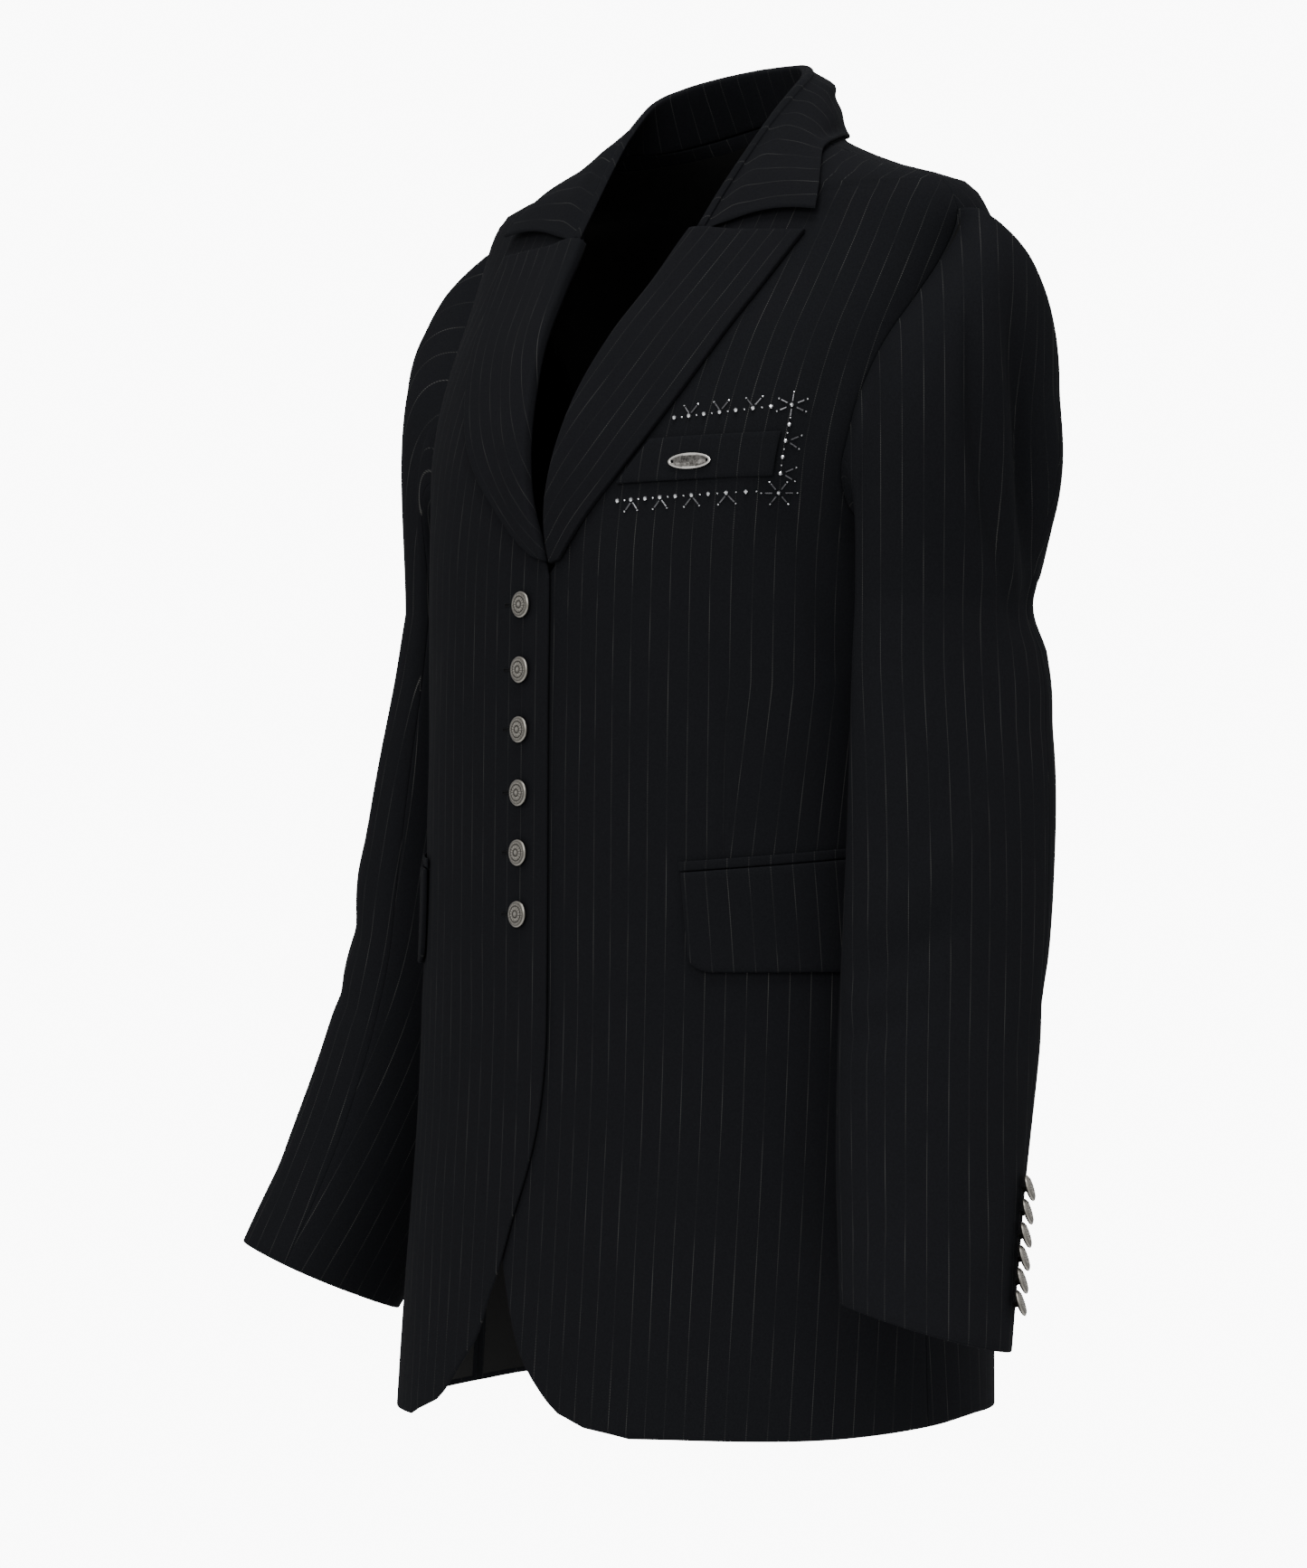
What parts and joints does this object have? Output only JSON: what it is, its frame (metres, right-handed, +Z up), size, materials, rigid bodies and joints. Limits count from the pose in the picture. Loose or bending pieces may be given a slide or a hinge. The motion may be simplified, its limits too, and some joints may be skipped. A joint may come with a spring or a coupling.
{
  "type": "tailored jacket",
  "caption": "Women's long single-breasted pinstriped wool jacket with peaked lapels, hip flap pockets, a beaded breast pocket, metal buttons and kissing cuff buttons, as worn and hollow.",
  "frame": {"origin": "at the centre between the shoulder-neck points, in the plane of the shoulders, where the worn jacket is held", "axes": "+Z up, the front of the jacket faces -Y, +X is the wearer's left"},
  "size_m": [0.6338, 0.2863, 0.7861],
  "materials": {
    "front_left": "matte wool with thin pale pinstripes",
    "front_right": "matte wool with thin pale pinstripes",
    "back_left": "matte wool with thin pale pinstripes",
    "back_right": "matte wool with thin pale pinstripes",
    "sleeve_top_left": "matte wool with thin pale pinstripes",
    "sleeve_top_right": "matte wool with thin pale pinstripes",
    "sleeve_under_left": "matte wool with thin pale pinstripes",
    "sleeve_under_right": "matte wool with thin pale pinstripes",
    "collar": "matte wool with thin pale pinstripes",
    "lapel_left": "matte wool with thin pale pinstripes",
    "lapel_right": "matte wool with thin pale pinstripes",
    "chest_welt": "matte wool with thin pale pinstripes",
    "flap_left": "matte wool with thin pale pinstripes",
    "flap_right": "matte wool with thin pale pinstripes",
    "flap_jet_left": "matte wool with thin pale pinstripes",
    "flap_jet_right": "matte wool with thin pale pinstripes",
    "chest_plate": "satin silver-coloured metal",
    "button_front_1": "antiqued silver-coloured metal",
    "button_front_2": "antiqued silver-coloured metal",
    "button_front_3": "antiqued silver-coloured metal",
    "button_front_4": "antiqued silver-coloured metal",
    "button_front_5": "antiqued silver-coloured metal",
    "button_front_6": "antiqued silver-coloured metal",
    "button_cuff_left_1": "antiqued silver-coloured metal",
    "button_cuff_left_2": "antiqued silver-coloured metal",
    "button_cuff_left_3": "antiqued silver-coloured metal",
    "button_cuff_left_4": "antiqued silver-coloured metal",
    "button_cuff_left_5": "antiqued silver-coloured metal",
    "button_cuff_left_6": "antiqued silver-coloured metal",
    "button_cuff_right_1": "antiqued silver-coloured metal",
    "button_cuff_right_2": "antiqued silver-coloured metal",
    "button_cuff_right_3": "antiqued silver-coloured metal",
    "button_cuff_right_4": "antiqued silver-coloured metal",
    "button_cuff_right_5": "antiqued silver-coloured metal",
    "button_cuff_right_6": "antiqued silver-coloured metal"
  },
  "bodies": {
    "root": {"front_left": "front_left", "front_right": "front_right", "back_left": "back_left", "back_right": "back_right", "sleeve_top_left": "sleeve_top_left", "sleeve_top_right": "sleeve_top_right", "sleeve_under_left": "sleeve_under_left", "sleeve_under_right": "sleeve_under_right", "collar": "collar", "lapel_left": "lapel_left", "lapel_right": "lapel_right", "chest_welt": "chest_welt", "flap_left": "flap_left", "flap_right": "flap_right", "flap_jet_left": "flap_jet_left", "flap_jet_right": "flap_jet_right", "chest_plate": "chest_plate", "button_front_1": "button_front_1", "button_front_2": "button_front_2", "button_front_3": "button_front_3", "button_front_4": "button_front_4", "button_front_5": "button_front_5", "button_front_6": "button_front_6", "button_cuff_left_1": "button_cuff_left_1", "button_cuff_left_2": "button_cuff_left_2", "button_cuff_left_3": "button_cuff_left_3", "button_cuff_left_4": "button_cuff_left_4", "button_cuff_left_5": "button_cuff_left_5", "button_cuff_left_6": "button_cuff_left_6", "button_cuff_right_1": "button_cuff_right_1", "button_cuff_right_2": "button_cuff_right_2", "button_cuff_right_3": "button_cuff_right_3", "button_cuff_right_4": "button_cuff_right_4", "button_cuff_right_5": "button_cuff_right_5", "button_cuff_right_6": "button_cuff_right_6"}
  },
  "joints": []
}
